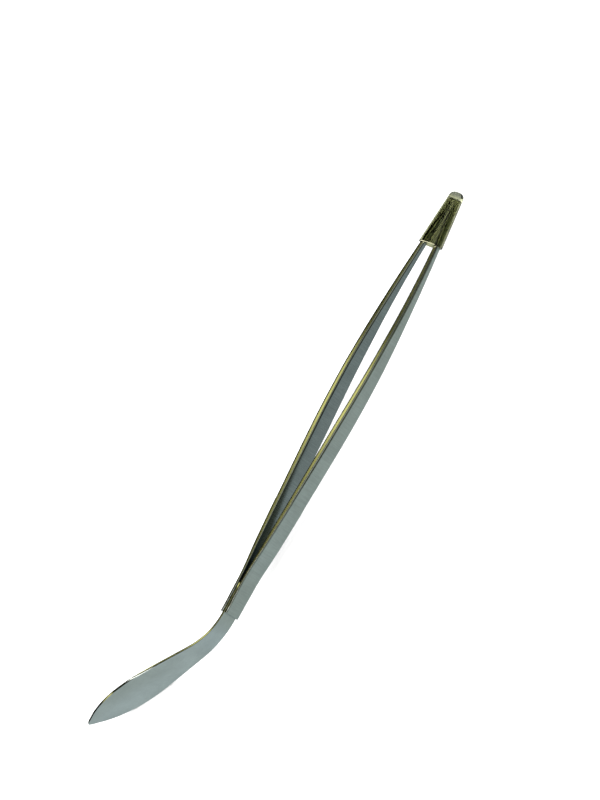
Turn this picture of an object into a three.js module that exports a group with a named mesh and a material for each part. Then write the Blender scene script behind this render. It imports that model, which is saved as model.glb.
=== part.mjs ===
// Stamp tongs with a bent leaf spatula at the heel and a clear guard pushed over the tips.
// Millimetres. The tool lies on its narrow edges: +X runs from the heel to the tips, the arms
// spread along Y, and Z is up. The pieces are drawn from the middle of the heel's end, and the
// whole tool is then moved so that the origin is the middle of its box, on the surface it lies on.
import * as THREE from 'three';

// Sheet and heel: the spatula's tang is held between the two arms.
const SHEET = 0.84;
const TANG_LENGTH = 11;
const ARM_SHEET = 1.1;
const HEEL_WIDTH = 6.2;

// Arms.
const ARM_LENGTH = 155;
const FLEX_X = 26;
const FLEX_GAP = 0.3;
const SHOULDER_X = 41;
const SHOULDER_RUN = 0.6;
const SHARP_CORNER = 0.02;
const SHOULDER_CORNER = 0.15;
const CUT_CORNER = 0.45;
const TIP_CORNER = 0.12;
const STEP = 3;

// Spatula: a bent neck, then a symmetric leaf.
const BEND_RADIUS = 24.5;
const BEND_ANGLE = THREE.MathUtils.degToRad(37.5);
const SPATULA_REACH = 62.2;
const LEAF_WIDTH = 13.6;
const NECK_WIDTH = 6.1;
const LEAF_CUP = 0.5;
const CUP_START = 18;
const CUP_END = 36;
const POINT_START = 56;

// Tip guard: a tapered oval tube, closed at the far end.
const GUARD_MOUTH_X = 139.1;
const GUARD_LENGTH = 20;
const GUARD_SPREAD = 10.2;
const GUARD_DEPTH = 5.3;
const GUARD_SPREAD_TAPER = 0.24;
const GUARD_DEPTH_TAPER = 0.06;
const GUARD_WALL = 0.55;
const GUARD_END_WALL = 2.4;
const GUARD_ROUND = 1.6;
const GUARD_INNER_ROUND = 0.6;
const GUARD_SIDES = 32;

// A smooth profile through a few [place, value] stations, level or falling where they are.
function profile(stations) {
  const last = stations.length - 1;
  const slope = stations.map((station, i) => {
    if (i === 0 || i === last) return 0;
    const before = (station[1] - stations[i - 1][1]) / (station[0] - stations[i - 1][0]);
    const after = (stations[i + 1][1] - station[1]) / (stations[i + 1][0] - station[0]);
    return before * after > 0 ? (2 * before * after) / (before + after) : 0;
  });
  return (x) => {
    const place = THREE.MathUtils.clamp(x, stations[0][0], stations[last][0]);
    let i = 0;
    while (i < last - 1 && place > stations[i + 1][0]) i += 1;
    const [x0, y0] = stations[i];
    const [x1, y1] = stations[i + 1];
    const run = x1 - x0;
    const t = (place - x0) / run;
    return y0 * (1 + 2 * t) * (1 - t) ** 2 + run * slope[i] * t * (1 - t) ** 2
      + y1 * t * t * (3 - 2 * t) - run * slope[i + 1] * t * t * (1 - t);
  };
}

// Half the distance between the arms' middle lines: together at the tang, bowed, then closing.
const spread = profile([
  [0, (SHEET + ARM_SHEET) / 2], [TANG_LENGTH, (SHEET + ARM_SHEET) / 2], [FLEX_X, 2.05],
  [45, 3.35], [66, 4.62], [80, 5.3],
  [93, 5.6], [106, 5.42], [120, 4.82], [138, 3.4], [ARM_LENGTH, 1.15],
]);
// Wide at the heel, tapering to slim tips.
const armWidth = profile([
  [0, HEEL_WIDTH], [12, 6.6], [26, 6.65], [38, 6.55], [68, 6.5], [87, 5.8], [100, 4.95], [117, 3.45],
  [133, 2.35], [141, 1.9], [148, 1.6], [ARM_LENGTH, 0.6],
]);
// Thin and springy at the heel, thick and stiff from the middle on.
const armThickness = profile([
  [0, ARM_SHEET], [12, ARM_SHEET], [26, 1.7], [38, 2.05], [50, 2.35], [66, 2.6], [100, 2.45],
  [117, 2.4], [133, 2.2], [142, 1.95], [150, 1.5], [ARM_LENGTH, 0.9],
]);
// The outer corners are sharp up to the shoulder and taken off beyond it.
const cornerCut = profile([
  [SHOULDER_X, SHARP_CORNER], [SHOULDER_X + SHOULDER_RUN, SHOULDER_CORNER],
  [49, CUT_CORNER], [142, CUT_CORNER], [ARM_LENGTH, TIP_CORNER],
]);
// Half the spatula's width along its middle line, from the heel's end to the leaf's point.
const leafHalfWidth = profile([
  [0, NECK_WIDTH / 2], [6, NECK_WIDTH / 2 + 0.1], [14, 3.8], [24, 5.1], [32, 6.15],
  [40, LEAF_WIDTH / 2], [46, 6.5], [52, 5.3], [57, 3.4], [60.2, 1.6], [61.6, 0.8], [SPATULA_REACH, 0.3],
]);

// One closed solid through a row of rings with equally many points; each end is closed by a fan.
function loft(rings) {
  const count = rings[0].length;
  const positions = rings.flat().flatMap((point) => [point.x, point.y, point.z]);
  const indices = [];
  for (let row = 0; row < rings.length - 1; row += 1) {
    for (let i = 0; i < count; i += 1) {
      const a = row * count + i;
      const b = row * count + ((i + 1) % count);
      indices.push(a, b, b + count, a, b + count, a + count);
    }
  }
  [0, rings.length - 1].forEach((row) => {
    const middle = new THREE.Vector3();
    rings[row].forEach((point) => middle.addScaledVector(point, 1 / count));
    const centre = positions.length / 3;
    positions.push(middle.x, middle.y, middle.z);
    for (let i = 0; i < count; i += 1) {
      const a = row * count + i;
      const b = row * count + ((i + 1) % count);
      indices.push(...(row === 0 ? [b, a, centre] : [a, b, centre]));
    }
  });
  const geometry = new THREE.BufferGeometry();
  geometry.setAttribute('position', new THREE.Float32BufferAttribute(positions, 3));
  geometry.setIndex(indices);
  geometry.computeVertexNormals();
  return geometry;
}

function evenSteps(from, to, step) {
  const count = Math.ceil((to - from) / step);
  return Array.from({ length: count + 1 }, (_, i) => from + ((to - from) * i) / count);
}

// An arm through sections at the given places; side is -1 for the near arm and 1 for the far one.
// Its section is a strip that has its two outer corners taken off from the shoulder on.
function armGeometry(side, places) {
  const rings = places.map((x) => {
    const inner = spread(x) - armThickness(x) / 2;
    const outer = spread(x) + armThickness(x) / 2;
    const half = armWidth(x) / 2;
    const cut = cornerCut(x);
    const section = [
      [inner, -half], [inner, half], [outer - cut, half],
      [outer, half - cut], [outer, -half + cut], [outer - cut, -half],
    ];
    const ring = section.map(([y, z]) => new THREE.Vector3(x, side * y, z));
    return side > 0 ? ring.reverse() : ring;
  });
  return loft(rings);
}

// A place on the spatula's middle line, with the direction across its thickness.
function spatulaLine(along) {
  const arc = BEND_RADIUS * BEND_ANGLE;
  const turn = THREE.MathUtils.clamp(along / BEND_RADIUS, 0, BEND_ANGLE);
  const straight = along < 0 ? along : Math.max(along - arc, 0);
  const x = -BEND_RADIUS * Math.sin(turn) - straight * Math.cos(turn);
  const y = BEND_RADIUS * (1 - Math.cos(turn)) + straight * Math.sin(turn);
  const across = new THREE.Vector3(Math.sin(turn), Math.cos(turn), 0);
  return { point: new THREE.Vector3(x, y, 0), across };
}

// Tang, bent neck and leaf in one sheet; the leaf is dished a little towards the near side.
function spatulaGeometry() {
  const columns = [-1, -0.8, -0.4, 0, 0.4, 0.8, 1];
  const places = [
    -TANG_LENGTH, ...evenSteps(0, POINT_START, 2), ...evenSteps(POINT_START + 1, SPATULA_REACH, 1),
  ];
  const rings = places.map((along) => {
    const { point, across } = spatulaLine(along);
    const half = along < 0 ? NECK_WIDTH / 2 : leafHalfWidth(along);
    const dish = LEAF_CUP * THREE.MathUtils.smoothstep(along, CUP_START, CUP_END);
    const at = (column, offset) => point.clone()
      .addScaledVector(across, offset + dish * (1 - column * column) * (2 * half / LEAF_WIDTH) ** 2)
      .setZ(column * half);
    const front = columns.map((column) => at(column, -SHEET / 2));
    const back = columns.map((column) => at(column, SHEET / 2)).reverse();
    return [...front, ...back];
  });
  return loft(rings);
}

// Clear soft tube: inner wall from its closed end out to the mouth, then the outer wall back.
function guardGeometry() {
  const ringAt = (along, inset) => {
    const spreadRadius = (GUARD_SPREAD - GUARD_SPREAD_TAPER * along) / 2 - inset;
    const depthRadius = (GUARD_DEPTH - GUARD_DEPTH_TAPER * along) / 2 - inset;
    return Array.from({ length: GUARD_SIDES }, (_, i) => {
      const angle = (2 * Math.PI * i) / GUARD_SIDES;
      const y = spreadRadius * Math.cos(angle);
      const z = depthRadius * Math.sin(angle);
      return new THREE.Vector3(GUARD_MOUTH_X + along, y, z);
    });
  };
  const innerEnd = GUARD_LENGTH - GUARD_END_WALL;
  const inner = evenSteps(0, innerEnd - GUARD_INNER_ROUND, STEP).reverse()
    .map((along) => ringAt(along, GUARD_WALL));
  const outer = evenSteps(0, GUARD_LENGTH - GUARD_ROUND, STEP).map((along) => ringAt(along, 0));
  const rounded = [30, 60, 90].map((degrees) => {
    const turn = THREE.MathUtils.degToRad(degrees);
    const along = GUARD_LENGTH - GUARD_ROUND * (1 - Math.sin(turn));
    return ringAt(along, GUARD_ROUND * (1 - Math.cos(turn)));
  });
  return loft([ringAt(innerEnd, GUARD_WALL + GUARD_INNER_ROUND), ...inner, ...outer, ...rounded]);
}

function satinSteel() {
  return new THREE.MeshStandardMaterial({ color: 0x8a9894, roughness: 0.38, metalness: 1 });
}

function clearVinyl() {
  return new THREE.MeshStandardMaterial({
    color: 0xdfe6cf, roughness: 0.12, metalness: 0, transparent: true, opacity: 0.35,
  });
}

function piece(name, geometry, material) {
  const mesh = new THREE.Mesh(geometry, material);
  mesh.name = name;
  return mesh;
}

const tongs = new THREE.Group();
tongs.add(piece('spatula', spatulaGeometry(), satinSteel()));
// Each arm is one strip, drawn as a still heel and a moving length that part where it flexes.
const heelPlaces = [0, ...evenSteps(TANG_LENGTH, FLEX_X - FLEX_GAP / 2, STEP)];
const armPlaces = [
  ...evenSteps(FLEX_X + FLEX_GAP / 2, SHOULDER_X, STEP),
  ...evenSteps(SHOULDER_X + SHOULDER_RUN, ARM_LENGTH, STEP),
];
[['near', -1], ['far', 1]].forEach(([arm, side]) => {
  tongs.add(piece(`${arm}_arm_heel`, armGeometry(side, heelPlaces), satinSteel()));
  tongs.add(piece(`${arm}_arm`, armGeometry(side, armPlaces), satinSteel()));
});
tongs.add(piece('tip_guard', guardGeometry(), clearVinyl()));

const box = new THREE.Box3().setFromObject(tongs);
const middle = box.getCenter(new THREE.Vector3());
tongs.position.set(-middle.x, -middle.y, -box.min.z);

export default tongs;
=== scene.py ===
import math

import bpy
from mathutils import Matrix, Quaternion, Vector


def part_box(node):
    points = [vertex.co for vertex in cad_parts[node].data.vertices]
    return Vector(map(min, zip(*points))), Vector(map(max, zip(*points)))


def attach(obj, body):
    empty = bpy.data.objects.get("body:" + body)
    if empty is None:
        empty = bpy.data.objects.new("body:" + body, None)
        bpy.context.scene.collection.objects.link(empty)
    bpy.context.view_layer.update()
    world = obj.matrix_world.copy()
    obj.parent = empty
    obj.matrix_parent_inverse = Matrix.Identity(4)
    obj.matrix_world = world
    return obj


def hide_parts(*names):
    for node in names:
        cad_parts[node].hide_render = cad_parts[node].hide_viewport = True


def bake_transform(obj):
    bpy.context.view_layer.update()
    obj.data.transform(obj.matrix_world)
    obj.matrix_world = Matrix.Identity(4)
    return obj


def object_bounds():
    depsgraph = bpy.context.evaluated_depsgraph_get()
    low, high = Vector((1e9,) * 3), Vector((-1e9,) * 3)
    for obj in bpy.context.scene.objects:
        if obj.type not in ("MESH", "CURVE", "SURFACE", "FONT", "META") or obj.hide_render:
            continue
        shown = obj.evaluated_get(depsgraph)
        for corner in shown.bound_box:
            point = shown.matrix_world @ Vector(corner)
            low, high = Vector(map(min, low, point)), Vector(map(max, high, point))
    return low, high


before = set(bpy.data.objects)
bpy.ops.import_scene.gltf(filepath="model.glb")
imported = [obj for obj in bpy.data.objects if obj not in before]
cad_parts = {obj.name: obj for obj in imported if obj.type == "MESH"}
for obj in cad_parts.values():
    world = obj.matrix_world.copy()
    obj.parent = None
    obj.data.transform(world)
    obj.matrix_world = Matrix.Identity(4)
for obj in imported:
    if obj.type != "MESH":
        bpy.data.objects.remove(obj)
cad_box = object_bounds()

# ---------------------------------------------------------------- the spatula
# One sheet of stainless steel: a straight tang between the arms, a neck bent to the far side and a
# leaf that is dished a little. It is blanked, bent, satined on its faces and polished at its edge.
# Sizes are in millimetres, and those times MM are in metres, as Blender's are.
MM = 0.001
# Places closer together than this are taken as one.
hair = 0.01 * MM
sheet = 0.84 * MM
tang = 11 * MM
bend_radius = 24.5 * MM
bend_angle = math.radians(37.5)
leaf_dish = 0.5 * MM
leaf_edge_round = 0.24 * MM
# The outline, all in millimetres: half the width at so far from the heel's end.
neck_width = 6.1
leaf_width = 13.6
leaf_half_width = [
    [0, neck_width / 2], [6, 3.15], [14, 3.8], [24, 5.1], [32, 6.15], [40, leaf_width / 2], [46, 6.5],
    [52, 5.3], [57, 3.4], [60.2, 1.6], [61.6, 0.8], [62.2, 0.3],
]
dish_start = 18
dish_full = 36
# The sheet is drawn through even rows, which come closer together at the leaf's point.
leaf_row_step = 1.2
leaf_rows = [leaf_row_step * row for row in range(1, 50)]
leaf_rows += [59.4, 60.0, 60.6, 61.1, 61.5, 61.8, 62.0, 62.2]
sheet_columns = 16
tang_rows = 4

# The tongs lie on their narrow edges. Every piece is set out from the middle of the heel's end,
# where the spatula comes out from between the two arms.
near_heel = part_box("near_arm_heel")
far_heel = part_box("far_arm_heel")
heel_end = Vector((
    near_heel[0].x,
    (near_heel[0].y + far_heel[1].y) / 2,
    (near_heel[0].z + near_heel[1].z) / 2,
))


def spatula_line(along):
    """The place on the spatula's middle line that is so far from the heel's end."""
    turn = min(along / bend_radius, bend_angle)
    straight = max(along - bend_radius * bend_angle, 0)
    return heel_end + Vector((
        -bend_radius * math.sin(turn) - straight * math.cos(turn),
        bend_radius * (1 - math.cos(turn)) + straight * math.sin(turn),
        0,
    ))


def smooth_line(stations, place):
    """A value read off a smooth line through [place, value] stations, level at both ends."""
    place = min(max(place, stations[0][0]), stations[-1][0])
    rises = [
        (after[1] - before[1]) / (after[0] - before[0])
        for before, after in zip(stations, stations[1:])
    ]
    slopes = [0.0]
    for rise_before, rise_after in zip(rises, rises[1:]):
        goes_on = rise_before * rise_after > 0
        slopes.append(2 * rise_before * rise_after / (rise_before + rise_after) if goes_on else 0.0)
    slopes.append(0.0)
    span = max(number for number in range(len(rises)) if place >= stations[number][0])
    (start, start_value), (end, end_value) = stations[span:span + 2]
    run = end - start
    share = (place - start) / run
    return (
        start_value * (1 + 2 * share) * (1 - share) ** 2
        + run * slopes[span] * share * (1 - share) ** 2
        + end_value * share * share * (3 - 2 * share)
        - run * slopes[span + 1] * share * share * (1 - share)
    )


def deselect_all():
    for each in bpy.context.selected_objects:
        each.select_set(False)


def name_piece(name):
    """Settles the primitive that was just added in its own mesh, under its own name."""
    bpy.ops.object.transform_apply(location=True, rotation=True, scale=True)
    blank = bpy.context.active_object
    blank.name = name
    blank.data.name = name
    return blank


def select_points(blank, chosen):
    """Opens the piece for editing with only the chosen points, and what joins them, selected."""
    bpy.ops.object.mode_set(mode="OBJECT")
    mesh = blank.data
    picked = [chosen(vertex.co) for vertex in mesh.vertices]
    mesh.vertices.foreach_set("select", picked)
    for parts in (mesh.edges, mesh.polygons):
        parts.foreach_set("select", [all(picked[point] for point in part.vertices) for part in parts])
    bpy.ops.object.mode_set(mode="EDIT")


def draw_out(step):
    bpy.ops.mesh.extrude_region_move(TRANSFORM_OT_translate={"value": step})


def mend_normals():
    bpy.ops.mesh.select_all(action="SELECT")
    bpy.ops.mesh.normals_make_consistent(inside=False)
    bpy.ops.object.mode_set(mode="OBJECT")


def apply_modifiers(blank):
    for modifier in list(blank.modifiers):
        bpy.ops.object.modifier_apply(modifier=modifier.name)


# The tang is laid out flat, and the neck and the leaf are drawn out from its end row by row.
deselect_all()
bpy.ops.mesh.primitive_grid_add(
    x_subdivisions=tang_rows, y_subdivisions=sheet_columns, size=1,
    location=heel_end + Vector((tang / 2, 0, 0)), rotation=(math.pi / 2, 0, 0),
)
bpy.ops.transform.resize(value=(tang, 1, neck_width * MM))
spatula = name_piece("spatula_blade")
select_points(spatula, lambda point: point.x < heel_end.x + hair)
bpy.ops.mesh.select_mode(type="EDGE")
place_before = heel_end
half_before = leaf_half_width[0][1]
for row in leaf_rows:
    place = spatula_line(row * MM)
    half = smooth_line(leaf_half_width, row)
    draw_out(place - place_before)
    bpy.ops.transform.resize(value=(1, 1, half / half_before), center_override=place)
    place_before = place
    half_before = half
mend_normals()


def blade_row(behind):
    """How many millimetres along the spatula a place so far behind the heel's end is."""
    bend_end = bend_radius * math.sin(bend_angle)
    if behind < bend_end:
        return bend_radius * math.asin(behind / bend_radius) / MM
    return (bend_radius * bend_angle + (behind - bend_end) / math.cos(bend_angle)) / MM


# The leaf is pressed over a shallow form: most along its middle where it is widest, nothing at its edge.
dish_group = spatula.vertex_groups.new(name="dish")
for vertex in spatula.data.vertices:
    row = blade_row(heel_end.x - vertex.co.x)
    half = smooth_line(leaf_half_width, row) * MM
    crown = max(0.0, half ** 2 - (vertex.co.z - heel_end.z) ** 2) / (leaf_width * MM / 2) ** 2
    depth = crown * smooth_line([[dish_start, 0], [dish_full, 1]], row)
    dish_group.add([vertex.index], depth, "REPLACE")
dish = spatula.modifiers.new("dish", "DISPLACE")
dish.vertex_group = "dish"
dish.direction = "Y"
dish.mid_level = 0
dish.strength = leaf_dish
gauge = spatula.modifiers.new("gauge", "SOLIDIFY")
gauge.thickness = sheet
gauge.offset = 0
gauge.use_even_offset = True
rounding = spatula.modifiers.new("rounding", "BEVEL")
rounding.limit_method = "ANGLE"
rounding.angle_limit = math.radians(60)
rounding.width = leaf_edge_round
rounding.segments = 4
apply_modifiers(spatula)
# The dish's weights have done their work. What the bevel makes of them isn't valid, so they go.
spatula.vertex_groups.clear()
bpy.ops.object.shade_smooth_by_angle(angle=math.radians(40))


def add_node(tree, kind, inputs=(), **settings):
    """Adds a node, makes its settings, and sets or links its inputs by name or number."""
    node = tree.nodes.new(kind)
    for name, value in settings.items():
        setattr(node, name, value)
    for name, value in dict(inputs).items():
        if isinstance(value, bpy.types.NodeSocket):
            tree.links.new(value, node.inputs[name])
        else:
            node.inputs[name].default_value = value
    return node


def reckon(tree, operation, *values):
    """The result of a math node on one or two values."""
    return add_node(tree, "ShaderNodeMath", dict(enumerate(values)), operation=operation).outputs[0]


def mix_colors(tree, amount, plain, full):
    """A colour between two others. The sockets go by number, because their names are shared."""
    return add_node(tree, "ShaderNodeMix", {0: amount, 6: plain, 7: full}, data_type="RGBA").outputs[2]


# The finish of all the steel: the faces are satined with a fine belt, which leaves faint lines and
# clouds, and what turns up or down, the narrow edges, is buffed bright.
finish = bpy.data.node_groups.new("belt_satin_and_buffed_edge", "ShaderNodeTree")
for name, kind in [
    ("Line Scale", "NodeSocketVector"), ("Line Depth", "NodeSocketFloat"),
    ("Face Color", "NodeSocketColor"), ("Edge Color", "NodeSocketColor"),
    ("Face Roughness", "NodeSocketFloat"), ("Edge Roughness", "NodeSocketFloat"),
    ("Edge Start", "NodeSocketFloat"),
]:
    finish.interface.new_socket(name=name, in_out="INPUT", socket_type=kind)
for name, kind in [
    ("Color", "NodeSocketColor"), ("Roughness", "NodeSocketFloat"), ("Normal", "NodeSocketVector"),
]:
    finish.interface.new_socket(name=name, in_out="OUTPUT", socket_type=kind)
given = add_node(finish, "NodeGroupInput").outputs
where = add_node(finish, "ShaderNodeTexCoord").outputs
line_place = add_node(finish, "ShaderNodeVectorMath", {
    0: where["Object"], 1: given["Line Scale"],
}, operation="MULTIPLY").outputs[0]
lines = add_node(finish, "ShaderNodeTexNoise", {
    "Vector": line_place, "Scale": 1.0, "Detail": 3.0, "Roughness": 0.6,
}).outputs["Fac"]
clouds = add_node(finish, "ShaderNodeTexNoise", {
    "Vector": where["Object"], "Scale": 160.0, "Detail": 2.0,
}).outputs["Fac"]
# How much a place is an edge: none at Edge Start, wholly from edge_blend beyond it.
edge_blend = 0.3
facing = add_node(finish, "ShaderNodeSeparateXYZ", {"Vector": where["Normal"]}).outputs["Z"]
upright = reckon(finish, "ABSOLUTE", facing)
edge_full = reckon(finish, "ADD", given["Edge Start"], edge_blend)
buffed = add_node(finish, "ShaderNodeMapRange", {
    "Value": upright, "From Min": given["Edge Start"], "From Max": edge_full,
}, interpolation_type="SMOOTHSTEP").outputs[0]


def noise_tone(noise, darkest, lightest):
    """A tone round 1 from a noise, most of which lies between 0.3 and 0.7."""
    return add_node(finish, "ShaderNodeMapRange", {
        "Value": noise, "From Min": 0.3, "From Max": 0.7, "To Min": darkest, "To Max": lightest,
    }).outputs[0]


cloud_tone = noise_tone(clouds, darkest=0.92, lightest=1.06)
line_tone = noise_tone(lines, darkest=0.89, lightest=1.08)
satin_color = add_node(finish, "ShaderNodeVectorMath", {
    0: given["Face Color"], "Scale": reckon(finish, "MULTIPLY", cloud_tone, line_tone),
}, operation="SCALE").outputs[0]
steel_color = mix_colors(finish, buffed, satin_color, given["Edge Color"])
satin_roughness = reckon(finish, "MULTIPLY", given["Face Roughness"], line_tone)
steel_roughness = add_node(finish, "ShaderNodeMix", {
    0: buffed, 2: satin_roughness, 3: given["Edge Roughness"],
}, data_type="FLOAT").outputs[0]
unbuffed = reckon(finish, "SUBTRACT", 1.0, buffed)
line_normal = add_node(finish, "ShaderNodeBump", {
    "Strength": reckon(finish, "MULTIPLY", given["Line Depth"], unbuffed),
    "Distance": 0.02 * MM, "Height": lines,
}).outputs[0]
add_node(finish, "NodeGroupOutput", {0: steel_color, 1: steel_roughness, 2: line_normal})


def steel(
    name, line_scale, line_depth, face_color, edge_color, face_roughness, edge_roughness, edge_start,
):
    """A steel with its own values of the finish."""
    metal = bpy.data.materials.new(name)
    metal.use_nodes = True
    tree = metal.node_tree
    shader = tree.nodes["Principled BSDF"]
    shader.inputs["Metallic"].default_value = 1.0
    made = add_node(tree, "ShaderNodeGroup", node_tree=finish)
    made.inputs["Line Scale"].default_value = line_scale
    made.inputs["Line Depth"].default_value = line_depth
    made.inputs["Face Color"].default_value = (*face_color, 1)
    made.inputs["Edge Color"].default_value = (*edge_color, 1)
    made.inputs["Face Roughness"].default_value = face_roughness
    made.inputs["Edge Roughness"].default_value = edge_roughness
    made.inputs["Edge Start"].default_value = edge_start
    for socket, target in (("Color", "Base Color"), ("Roughness", "Roughness"), ("Normal", "Normal")):
        tree.links.new(made.outputs[socket], shader.inputs[target])
    return metal


# The spatula's lines run along it.
edge_gray = (0.66, 0.67, 0.62)
spatula.data.materials.append(steel(
    "spatula_steel", line_scale=(900, 900, 6000), line_depth=0.25,
    face_color=(0.545, 0.595, 0.57), edge_color=edge_gray,
    face_roughness=0.33, edge_roughness=0.1, edge_start=0.15,
))
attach(spatula, "heel")
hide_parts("spatula")

# ---------------------------------------------------------------- the two arms
# Each arm is one strip of stainless steel, thin and flat at the heel where it springs, thick and
# bowed further on, and drawn down to a slim tip. Beyond a small shoulder its outer face is ground
# down a little, and all its long corners are rounded and polished.
arm_length = 155
shoulder = 41
shoulder_start = 40.7
shoulder_end = 41.3
shoulder_step = 0.1
arm_sheet = 1.1
beside_tang = (sheet / MM + arm_sheet) / 2
# The middle line's distance from the middle of the tool, the strip's width and thickness, and the
# rounding of its outer and inner corners, all in millimetres, at so far from the heel's end.
arm_spread = [
    [0, beside_tang], [11, beside_tang], [26, 2.05], [45, 3.35], [66, 4.62], [80, 5.3],
    [93, 5.6], [106, 5.42], [120, 4.82], [138, 3.4], [arm_length, 1.15],
]
arm_width = [
    [0, 6.2], [12, 6.6], [26, 6.65], [38, 6.55], [68, 6.5], [87, 5.8], [100, 4.95], [117, 3.45],
    [133, 2.35], [141, 1.9], [148, 1.6], [arm_length, 0.6],
]
arm_thickness = [
    [0, arm_sheet], [12, arm_sheet], [26, 1.7], [38, 2.05], [50, 2.35], [66, 2.6], [100, 2.45],
    [117, 2.4], [133, 2.2], [142, 1.95], [150, 1.5], [arm_length, 0.9],
]
outer_round = [
    [0, 0.35], [25, 0.45], [shoulder_start, 0.5], [shoulder_end, 0.6], [50, 0.9], [120, 0.95],
    [145, 0.7], [arm_length, 0.2],
]
inner_round = [[0, 0.25], [25, 0.4], [50, 0.6], [120, 0.75], [145, 0.6], [arm_length, 0.2]]
widest_round = max(radius for along, radius in outer_round)
arm_end_round = 0.06
# The strip is drawn through even rows, with two at the shoulder and closer ones at the tip.
arm_row_step = 2.5
arm_rows = [arm_row_step * row for row in range(1, 60)] + [shoulder_start, shoulder_end]
arm_rows = sorted(arm_rows) + [149, 150.5, 152, 153, 154, 154.6, arm_length]

deselect_all()
bpy.ops.mesh.primitive_plane_add(
    size=1, location=heel_end - Vector((0, arm_spread[0][1] * MM, 0)), rotation=(0, -math.pi / 2, 0),
)
bpy.ops.transform.resize(value=(1, arm_thickness[0][1] * MM, arm_width[0][1] * MM))
near_arm = name_piece("near_arm_strip")
select_points(near_arm, lambda point: True)
row_before = 0
spread_before = arm_spread[0][1]
thickness_before = arm_thickness[0][1]
width_before = arm_width[0][1]
for row in arm_rows:
    step = shoulder_step if row > shoulder else 0
    spread = smooth_line(arm_spread, row) - step / 2
    thickness = smooth_line(arm_thickness, row) - step
    width = smooth_line(arm_width, row)
    draw_out(Vector(((row - row_before) * MM, (spread_before - spread) * MM, 0)))
    bpy.ops.transform.resize(
        value=(1, thickness / thickness_before, width / width_before),
        center_override=heel_end + Vector((row, -spread, 0)) * MM,
    )
    row_before = row
    spread_before = spread
    thickness_before = thickness
    width_before = width
mend_normals()

# A long corner is rounded as much as its place says, and the ends' own corners only a little.
corner = near_arm.data.attributes.new("bevel_weight_edge", "FLOAT", "EDGE")
for edge in near_arm.data.edges:
    start, end = (near_arm.data.vertices[point].co for point in edge.vertices)
    along = ((start.x + end.x) / 2 - heel_end.x) / MM
    is_long = abs(start.x - end.x) > hair
    is_outer = heel_end.y - (start.y + end.y) / 2 > smooth_line(arm_spread, along) * MM
    is_at_end = along < hair / MM or along > arm_length - hair / MM
    if is_long:
        radius = smooth_line(outer_round if is_outer else inner_round, along)
        corner.data[edge.index].value = radius / widest_round
    elif is_at_end:
        corner.data[edge.index].value = arm_end_round / widest_round
rounding = near_arm.modifiers.new("rounding", "BEVEL")
rounding.limit_method = "WEIGHT"
rounding.width = widest_round * MM
rounding.segments = 8
rounding.profile = 0.58
rounding.use_clamp_overlap = False
apply_modifiers(near_arm)
bpy.ops.object.shade_smooth_by_angle(angle=math.radians(40))

# The far arm is the near one's mirror image, in a mesh of its own.
bpy.ops.object.duplicate()
far_arm = bpy.context.active_object
far_arm.name = "far_arm_strip"
far_arm.data.name = "far_arm_strip"
bpy.ops.object.mode_set(mode="EDIT")
bpy.ops.mesh.select_all(action="SELECT")
bpy.ops.transform.resize(value=(1, -1, 1), center_override=heel_end)
mend_normals()


def arm_finish(name, face_color, face_roughness):
    """A steel with the arms' lines, which run across them, and their buffed edges."""
    return steel(
        name, line_scale=(2200, 200, 200), line_depth=0.5, face_color=face_color, edge_color=edge_gray,
        face_roughness=face_roughness, edge_roughness=0.12, edge_start=0.6,
    )


# The faces inside the bow, which lean inwards by more than inward_lean, are smoother, and their darker
# colour is painted shade for the shade and dark reflections between the arms.
inward_lean = 0.3
arm_steel = arm_finish("arm_steel", face_color=(0.52, 0.575, 0.55), face_roughness=0.36)
inside_shaded_steel = arm_finish("arm_inside_painted_shade", face_color=(0.29, 0.33, 0.335), face_roughness=0.22)
# Each strip takes the arm steel, and the painted-shade steel on its faces that lean inwards, and is
# baked where it lies.
for strip, arm, outward in ((near_arm, "near_arm", -1), (far_arm, "far_arm", 1)):
    strip.data.materials.append(arm_steel)
    strip.data.materials.append(inside_shaded_steel)
    for polygon in strip.data.polygons:
        polygon.material_index = int(polygon.normal.y * outward < -inward_lean)
    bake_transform(strip)
    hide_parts(arm, arm + "_heel")

# ---------------------------------------------------------------- the tip guard
# A soft clear vinyl sleeve, dipped on an oval tapered form: open at its mouth, closed at its end,
# where the vinyl is thickest. It is pushed over the tips and holds them together.
guard_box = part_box("tip_guard")
guard_mouth = Vector((guard_box[0].x, heel_end.y, heel_end.z))
guard_length = guard_box[1].x - guard_box[0].x
mouth_spread = guard_box[1].y - guard_box[0].y
mouth_depth = guard_box[1].z - guard_box[0].z
spread_taper = 0.24
depth_taper = 0.06
guard_wall = 0.55 * MM
guard_end_wall = 2.4 * MM
end_round = 1.6 * MM
hollow_round = 0.8 * MM
lip_round = 0.12 * MM
guard_sides = 64
guard_steps = 12


def guard_ring(along, inset):
    """The spread and depth of the oval at so far from the mouth, less an inset all round."""
    spread = mouth_spread - spread_taper * along - 2 * inset
    depth = mouth_depth - depth_taper * along - 2 * inset
    return spread, depth


def wall_rings(end, inset, turn_radius, turn_step):
    """The rings of one wall, each [how far from the mouth, inset]: straight, then turned in at its end
    through a quarter circle, by so many degrees at a time."""
    rings = [[end * part / guard_steps, inset] for part in range(guard_steps)]
    for degrees in range(0, 90 + turn_step, turn_step):
        turn = math.radians(degrees)
        rings.append([
            end - turn_radius * (1 - math.sin(turn)),
            inset + turn_radius * (1 - math.cos(turn)),
        ])
    return rings


def draw_guard(rings):
    """Draws the selected oval through a row of rings and closes the last one."""
    for (along_before, inset_before), (along, inset) in zip(rings, rings[1:]):
        spread_before, depth_before = guard_ring(along_before, inset_before)
        spread, depth = guard_ring(along, inset)
        draw_out(Vector((along - along_before, 0, 0)))
        bpy.ops.transform.resize(
            value=(1, spread / spread_before, depth / depth_before),
            center_override=guard_mouth + Vector((along, 0, 0)),
        )
    bpy.ops.mesh.fill_grid(span=guard_sides // 4)


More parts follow.
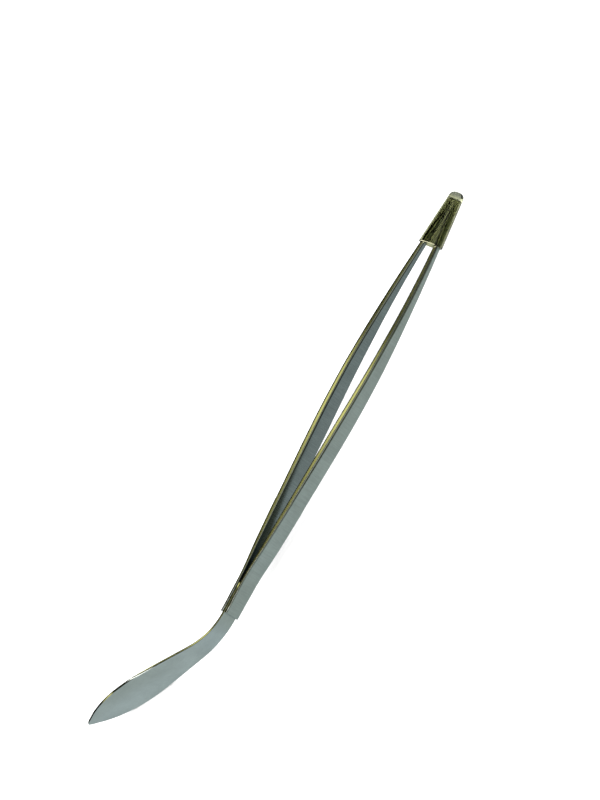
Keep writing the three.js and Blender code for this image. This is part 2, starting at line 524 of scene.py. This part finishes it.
# The outside is drawn from the mouth to the round end. Then the lip is turned in at the mouth, and
# the hollow is drawn from there.
deselect_all()
bpy.ops.mesh.primitive_circle_add(
    vertices=guard_sides, radius=0.5, fill_type="NOTHING", location=guard_mouth,
    rotation=(0, math.pi / 2, 0),
)
bpy.ops.transform.resize(value=(1, mouth_spread, mouth_depth))
guard = name_piece("tip_guard_sleeve")
select_points(guard, lambda point: True)
bpy.ops.mesh.select_mode(type="EDGE")
draw_guard(wall_rings(guard_length, 0, end_round, turn_step=15))
select_points(guard, lambda point: point.x < guard_mouth.x + hair)
bpy.ops.mesh.select_mode(type="EDGE")
draw_guard([[0, 0]] + wall_rings(guard_length - guard_end_wall, guard_wall, hollow_round, turn_step=30))
mend_normals()
rim = guard.modifiers.new("rim", "BEVEL")
rim.limit_method = "ANGLE"
rim.angle_limit = math.radians(50)
rim.width = lip_round
rim.segments = 3
apply_modifiers(guard)
bpy.ops.object.shade_smooth_by_angle(angle=math.radians(50))
# The sleeve casts no shadow, because one cast through tinted vinyl comes out too dark.
guard.visible_shadow = False


def clear_vinyl(name, tint, roughness, transmission):
    """Adds a vinyl to the guard's materials."""
    material = bpy.data.materials.new(name)
    material.use_nodes = True
    shader = material.node_tree.nodes["Principled BSDF"].inputs
    shader["Base Color"].default_value = (*tint, 1)
    shader["Transmission Weight"].default_value = transmission
    shader["IOR"].default_value = 1.4
    shader["Roughness"].default_value = roughness
    guard.data.materials.append(material)


# The wall is clear with an olive tint, partly the vinyl's own and partly painted shade for the dark room
# seen through it, and the solid end is deeper in tint. The upper lip at the mouth is painted pale, a
# painted highlight.
clear_vinyl("guard_vinyl", tint=(0.23, 0.24, 0.145), roughness=0.03, transmission=1.0)
clear_vinyl("guard_vinyl_end", tint=(0.14, 0.15, 0.115), roughness=0.06, transmission=1.0)
clear_vinyl("guard_lip_painted_highlight", tint=(0.9, 0.86, 0.56), roughness=0.5, transmission=0.2)
wall_vinyl, end_vinyl, painted_lip_highlight = range(3)
lip_depth = 0.05 * MM
lip_height = 0.6 * MM
lip_reach = 0.33 * mouth_spread
# Faces at the upper lip of the mouth take the pale painted highlight, the end its deeper tint, the rest
# the tinted wall.
for polygon in guard.data.polygons:
    beyond_mouth = polygon.center.x - guard_mouth.x
    above_middle = polygon.center.z - heel_end.z
    beside_middle = abs(polygon.center.y - heel_end.y)
    if polygon.center.x > guard_box[1].x - guard_end_wall:
        polygon.material_index = end_vinyl
    elif beyond_mouth < lip_depth and above_middle > lip_height and beside_middle < lip_reach:
        polygon.material_index = painted_lip_highlight
    else:
        polygon.material_index = wall_vinyl
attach(guard, "tip_guard")
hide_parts("tip_guard")

# ---------------------------------------------------------------- the table and the light
# A plain pale table, with a big soft light overhead and a smaller one from the front. What the steel
# and the vinyl mirror is a room that is dark above, but for a patch right overhead, and pale below,
# with a few small lamps in it, which show in the buffed edges.
table_gap = 0.02 * MM
deselect_all()
bpy.ops.mesh.primitive_plane_add(size=6, location=(0, 0, cad_box[0][2] - table_gap))
table = bpy.context.active_object
table.name = "table"
table.visible_glossy = False
pale = bpy.data.materials.new("pale_table")
pale.use_nodes = True
pale_shader = pale.node_tree.nodes["Principled BSDF"].inputs
pale_shader["Base Color"].default_value = (0.9, 0.9, 0.9, 1)
pale_shader["Roughness"].default_value = 0.9
pale_shader["Specular IOR Level"].default_value = 0.0
table.data.materials.append(pale)


def soft_light(name, place, size, power):
    """A square white area light that faces the middle of the tool and isn't mirrored in it."""
    bpy.ops.object.light_add(type="AREA", location=place)
    light = bpy.context.active_object
    light.name = name
    light.rotation_euler = (-Vector(place)).to_track_quat("-Z", "Y").to_euler()
    light.data.size = size
    light.data.energy = power
    light.visible_glossy = False


soft_light("overhead_light", place=(0.1, 0.1, 1.6), size=1.8, power=34)
soft_light("front_light", place=(-0.9, -1.2, 0.9), size=1.0, power=10)

room = bpy.data.worlds.new("room")
room.use_nodes = True
bpy.context.scene.world = room
room_tree = room.node_tree
direction = add_node(room_tree, "ShaderNodeTexCoord").outputs["Generated"]


def room_mask(value, none, whole):
    """0 where the value is at none, 1 where it is at whole, and smooth between them."""
    return add_node(room_tree, "ShaderNodeMapRange", {
        "Value": value, "From Min": none, "From Max": whole,
    }, interpolation_type="SMOOTHSTEP").outputs[0]


def toward(way):
    """How far each direction of the room leans along the given way."""
    return add_node(room_tree, "ShaderNodeVectorMath", {
        0: direction, 1: Vector(way).normalized(),
    }, operation="DOT_PRODUCT").outputs["Value"]


def near_way(way, edge, core):
    """A soft round patch of the room round the given way, full inside its core."""
    apart = add_node(room_tree, "ShaderNodeVectorMath", {
        0: direction, 1: Vector(way).normalized(),
    }, operation="DISTANCE").outputs["Value"]
    return room_mask(apart, edge, core)


# Below, the room is pale, with a cool patch and a small bright one on the near side and a dim one on
# the far side. Above, it is dark, most so on the far side, with a pale patch right overhead.
below = (0.47, 0.52, 0.5, 1)
for way, edge, core, color in (
    ((-0.5, -0.62, -0.6), 0.6, 0.15, (0.58, 0.66, 0.7, 1)),
    ((-0.715, -0.27, -0.645), 0.14, 0.03, (0.82, 0.92, 1.02, 1)),
    ((0.25, 0.68, -0.7), 0.4, 0.25, (0.3, 0.29, 0.19, 1)),
):
    below = mix_colors(room_tree, near_way(way, edge, core), below, color)
far_side = room_mask(toward((0, 1, 0)), none=0.6, whole=0.75)
above = mix_colors(room_tree, far_side, (0.03, 0.034, 0.02, 1), (0.008, 0.009, 0.004, 1))
overhead = near_way((0, 0, 1), edge=0.4, core=0.2)
above = mix_colors(room_tree, overhead, above, (0.4, 0.44, 0.43, 1))
is_below = room_mask(toward((0, 0, 1)), none=-0.1, whole=-0.25)
lit_room = mix_colors(room_tree, is_below, above, below)


def lamp_shape(depth, side, side_reach, height, height_reach):
    """A soft-edged oblong in the room: behind the tool where depth is 1 and before it where it is -1,
    so far to the side, and so high above 45 degrees."""
    spans = []
    for way, middle, reach in (((1, 0, 0), side, side_reach), ((0, -depth, 1), height, height_reach)):
        off = reckon(room_tree, "SUBTRACT", toward(way), middle)
        away = reckon(room_tree, "ABSOLUTE", off)
        spans.append(room_mask(away, none=reach, whole=0.6 * reach))
    that_way = room_mask(toward((0, depth, 1)), none=0.6, whole=0.7)
    oblong = reckon(room_tree, "MULTIPLY", spans[0], spans[1])
    return reckon(room_tree, "MULTIPLY", oblong, that_way)


# Behind the tool hang a dim warm panel, a bright warm one across it, a narrow white one that is the
# brightest, and a warm one towards the heel's side. Before the tool hangs a tall dim one.
for depth, side, side_reach, height, height_reach, light in (
    (1, 0.15, 0.11, 0.08, 0.08, (0.26, 0.25, 0.09, 1)),
    (1, 0.175, 0.05, 0.07, 0.14, (1.05, 1.02, 0.38, 1)),
    (1, 0.01, 0.045, 0.3, 0.2, (2.6, 2.7, 2.7, 1)),
    (1, -0.28, 0.1, -0.05, 0.15, (0.9, 0.86, 0.36, 1)),
    (-1, 0.16, 0.075, 0.0, 0.6, (0.3, 0.3, 0.19, 1)),
):
    shape = lamp_shape(depth, side, side_reach, height, height_reach)
    lit_room = mix_colors(room_tree, shape, lit_room, light)

# The table is lit by an even pale room instead, and the camera sees that room past its edges.
even_room = (1.08, 1.08, 1.08, 1)
paths = add_node(room_tree, "ShaderNodeLightPath").outputs
is_even = reckon(room_tree, "MAXIMUM", paths["Is Camera Ray"], paths["Is Diffuse Ray"])
seen_room = mix_colors(room_tree, is_even, lit_room, even_room)
room_tree.links.new(seen_room, room_tree.nodes["Background"].inputs["Color"])
# Colours come out as they are, without a film's curve.
bpy.context.scene.view_settings.view_transform = "Standard"

# ---------------------------------------------------------------- the camera
# It looks down on the tool from the near side, a little from the heel's end, and is rolled so that
# the tool stands from the lower left to the upper right.
camera_distance = 1.1
camera_height_angle = math.radians(43.94)
camera_heading = math.radians(11.69)
camera_roll = math.radians(53.22)
camera_lens = 101.9
camera_sensor_height = 24
aim = heel_end + Vector((71.4, 1.8, 16.8)) * MM
bpy.ops.object.camera_add()
camera = bpy.context.active_object
camera.name = "camera"
camera.data.sensor_fit = "VERTICAL"
camera.data.sensor_height = camera_sensor_height
camera.data.lens = camera_lens
look = Vector((
    math.sin(camera_heading) * math.cos(camera_height_angle),
    math.cos(camera_heading) * math.cos(camera_height_angle),
    -math.sin(camera_height_angle),
))
camera.location = aim - look * camera_distance
level_turn = look.to_track_quat("-Z", "Y")
camera.rotation_euler = (level_turn @ Quaternion((0, 0, 1), -camera_roll)).to_euler()
bpy.context.scene.camera = camera
